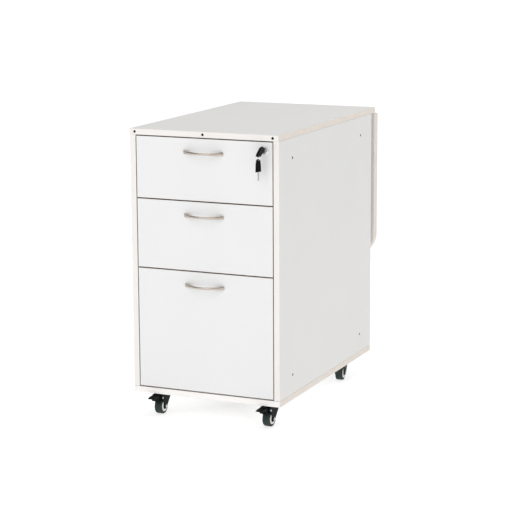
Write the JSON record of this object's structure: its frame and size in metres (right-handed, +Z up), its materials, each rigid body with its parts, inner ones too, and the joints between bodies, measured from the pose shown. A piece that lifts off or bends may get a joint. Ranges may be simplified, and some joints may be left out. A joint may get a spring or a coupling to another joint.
{
  "type": "rolling pedestal cabinet",
  "caption": "White under-desk pedestal on swivel casters, with lockable drawers behind bow handles and a fold-up leaf behind its top.",
  "frame": {"origin": "on the floor, under the middle of the object's box", "axes": "+Z up, drawers open towards -Y, +X to the right seen from the front"},
  "size_m": [0.4, 0.7124, 0.729],
  "materials": {
    "white_laminate": "white melamine laminate on particle board, satin",
    "drawer_laminate": "bright white melamine laminate, satin",
    "drawer_board": "off-white laminated drawer board, matt",
    "satin_nickel": "satin nickel",
    "lock_silver": "nickel-plated die casting",
    "slide_steel": "zinc-plated steel",
    "stay_steel": "zinc-plated steel",
    "key_plastic": "moulded black plastic key head",
    "caster_black": "black powder coat",
    "wheel_rubber": "dark green-black tread"
  },
  "bodies": {
    "cabinet": {"top_panel": "white_laminate", "bottom_panel": "white_laminate", "side_panel_left": "white_laminate", "side_panel_right": "white_laminate", "back_panel": "white_laminate", "runner_1_left": "slide_steel", "runner_1_right": "slide_steel", "runner_2_left": "slide_steel", "runner_2_right": "slide_steel", "runner_3_left": "slide_steel", "runner_3_right": "slide_steel", "hinge_top_wing": "stay_steel", "stay_catch": "stay_steel", "caster_front_left_plate": "caster_black", "caster_front_right_plate": "caster_black", "caster_rear_left_plate": "caster_black", "caster_rear_right_plate": "caster_black"},
    "drawer_1": {"drawer_1_front": "drawer_laminate", "drawer_1_side_left": "drawer_board", "drawer_1_side_right": "drawer_board", "drawer_1_back": "drawer_board", "drawer_1_bottom": "drawer_board", "drawer_1_rail_left": "slide_steel", "drawer_1_rail_right": "slide_steel", "drawer_1_handle": "satin_nickel", "lock_barrel": "lock_silver"},
    "drawer_2": {"drawer_2_front": "drawer_laminate", "drawer_2_side_left": "drawer_board", "drawer_2_side_right": "drawer_board", "drawer_2_back": "drawer_board", "drawer_2_bottom": "drawer_board", "drawer_2_rail_left": "slide_steel", "drawer_2_rail_right": "slide_steel", "drawer_2_handle": "satin_nickel"},
    "drawer_3": {"drawer_3_front": "drawer_laminate", "drawer_3_side_left": "drawer_board", "drawer_3_side_right": "drawer_board", "drawer_3_back": "drawer_board", "drawer_3_bottom": "drawer_board", "drawer_3_rail_left": "slide_steel", "drawer_3_rail_right": "slide_steel", "drawer_3_handle": "satin_nickel"},
    "lock_plug": {"lock_plug": "lock_silver", "key_in_lock": "key_plastic"},
    "spare_key": {"key_ring": "lock_silver", "spare_key": "key_plastic"},
    "lock_bar": {"lock_bar": "slide_steel"},
    "leaf": {"leaf_panel": "white_laminate", "hinge_leaf_wing": "stay_steel"},
    "stay": {"stay_bail": "stay_steel"},
    "caster_front_left": {"caster_front_left_fork": "caster_black"},
    "caster_front_left_wheel": {"caster_front_left_wheel": "wheel_rubber"},
    "caster_front_left_brake": {"caster_front_left_brake": "caster_black"},
    "caster_front_right": {"caster_front_right_fork": "caster_black"},
    "caster_front_right_wheel": {"caster_front_right_wheel": "wheel_rubber"},
    "caster_front_right_brake": {"caster_front_right_brake": "caster_black"},
    "caster_rear_left": {"caster_rear_left_fork": "caster_black"},
    "caster_rear_left_wheel": {"caster_rear_left_wheel": "wheel_rubber"},
    "caster_rear_right": {"caster_rear_right_fork": "caster_black"},
    "caster_rear_right_wheel": {"caster_rear_right_wheel": "wheel_rubber"}
  },
  "joints": [
    {"name": "drawer_1_slide", "type": "slide", "parent": "cabinet", "child": "drawer_1", "axis": [0, -1, 0], "range_m": [0, 0.4]},
    {"name": "drawer_2_slide", "type": "slide", "parent": "cabinet", "child": "drawer_2", "axis": [0, -1, 0], "range_m": [0, 0.4]},
    {"name": "drawer_3_slide", "type": "slide", "parent": "cabinet", "child": "drawer_3", "axis": [0, -1, 0], "range_m": [0, 0.45]},
    {"name": "lock_turn", "type": "hinge", "parent": "drawer_1", "child": "lock_plug", "pos_m": [0.16, -0.32335, 0.69], "axis": [0, 1, 0], "range_deg": [-20, 70]},
    {"name": "spare_key_swing", "type": "hinge", "parent": "lock_plug", "child": "spare_key", "pos_m": [0.15702, -0.34945, 0.68389], "axis": [0, 1, 0], "range_deg": [-2, 12]},
    {"name": "lock_bar_slide", "type": "slide", "parent": "cabinet", "child": "lock_bar", "axis": [0, 0, -1], "range_m": [-0.0022, 0.0077]},
    {"name": "leaf_hinge", "type": "hinge", "parent": "cabinet", "child": "leaf", "pos_m": [0, 0.33765, 0.7105], "axis": [1, 0, 0], "range_deg": [0, 90]},
    {"name": "stay_swing", "type": "hinge", "parent": "leaf", "child": "stay", "pos_m": [0, 0.33765, 0.5805], "axis": [1, 0, 0], "range_deg": [-135, 0]},
    {"name": "caster_front_left_swivel", "type": "hinge", "parent": "cabinet", "child": "caster_front_left", "pos_m": [-0.141, -0.28035, 0.054], "axis": [0, 0, 1], "continuous": true},
    {"name": "caster_front_left_spin", "type": "hinge", "parent": "caster_front_left", "child": "caster_front_left_wheel", "pos_m": [-0.141, -0.29235, 0.02], "axis": [1, 0, 0], "continuous": true},
    {"name": "caster_front_left_brake_press", "type": "hinge", "parent": "caster_front_left", "child": "caster_front_left_brake", "pos_m": [-0.141, -0.30935, 0.0455], "axis": [1, 0, 0], "range_deg": [0, 8]},
    {"name": "caster_front_right_swivel", "type": "hinge", "parent": "cabinet", "child": "caster_front_right", "pos_m": [0.1585, -0.28035, 0.054], "axis": [0, 0, 1], "continuous": true},
    {"name": "caster_front_right_spin", "type": "hinge", "parent": "caster_front_right", "child": "caster_front_right_wheel", "pos_m": [0.15777, -0.29233, 0.02], "axis": [0.9981, -0.061, 0], "continuous": true},
    {"name": "caster_front_right_brake_press", "type": "hinge", "parent": "caster_front_right", "child": "caster_front_right_brake", "pos_m": [0.15673, -0.3093, 0.0455], "axis": [0.9981, -0.061, 0], "range_deg": [0, 8]},
    {"name": "caster_rear_left_swivel", "type": "hinge", "parent": "cabinet", "child": "caster_rear_left", "pos_m": [-0.141, 0.20365, 0.054], "axis": [0, 0, 1], "continuous": true},
    {"name": "caster_rear_left_spin", "type": "hinge", "parent": "caster_rear_left", "child": "caster_rear_left_wheel", "pos_m": [-0.14016, 0.19168, 0.02], "axis": [0.9976, 0.0698, 0], "continuous": true},
    {"name": "caster_rear_right_swivel", "type": "hinge", "parent": "cabinet", "child": "caster_rear_right", "pos_m": [0.157, 0.20365, 0.054], "axis": [0, 0, 1], "continuous": true},
    {"name": "caster_rear_right_spin", "type": "hinge", "parent": "caster_rear_right", "child": "caster_rear_right_wheel", "pos_m": [0.15825, 0.19172, 0.02], "axis": [0.9945, 0.1045, 0], "continuous": true}
  ],
  "couplings": [
    {"joint": "stay_swing", "follows": "leaf_hinge", "ratio": -1.5},
    {"joint": "lock_turn", "follows": "lock_bar_slide", "rad_per_m": 157.08}
  ]
}
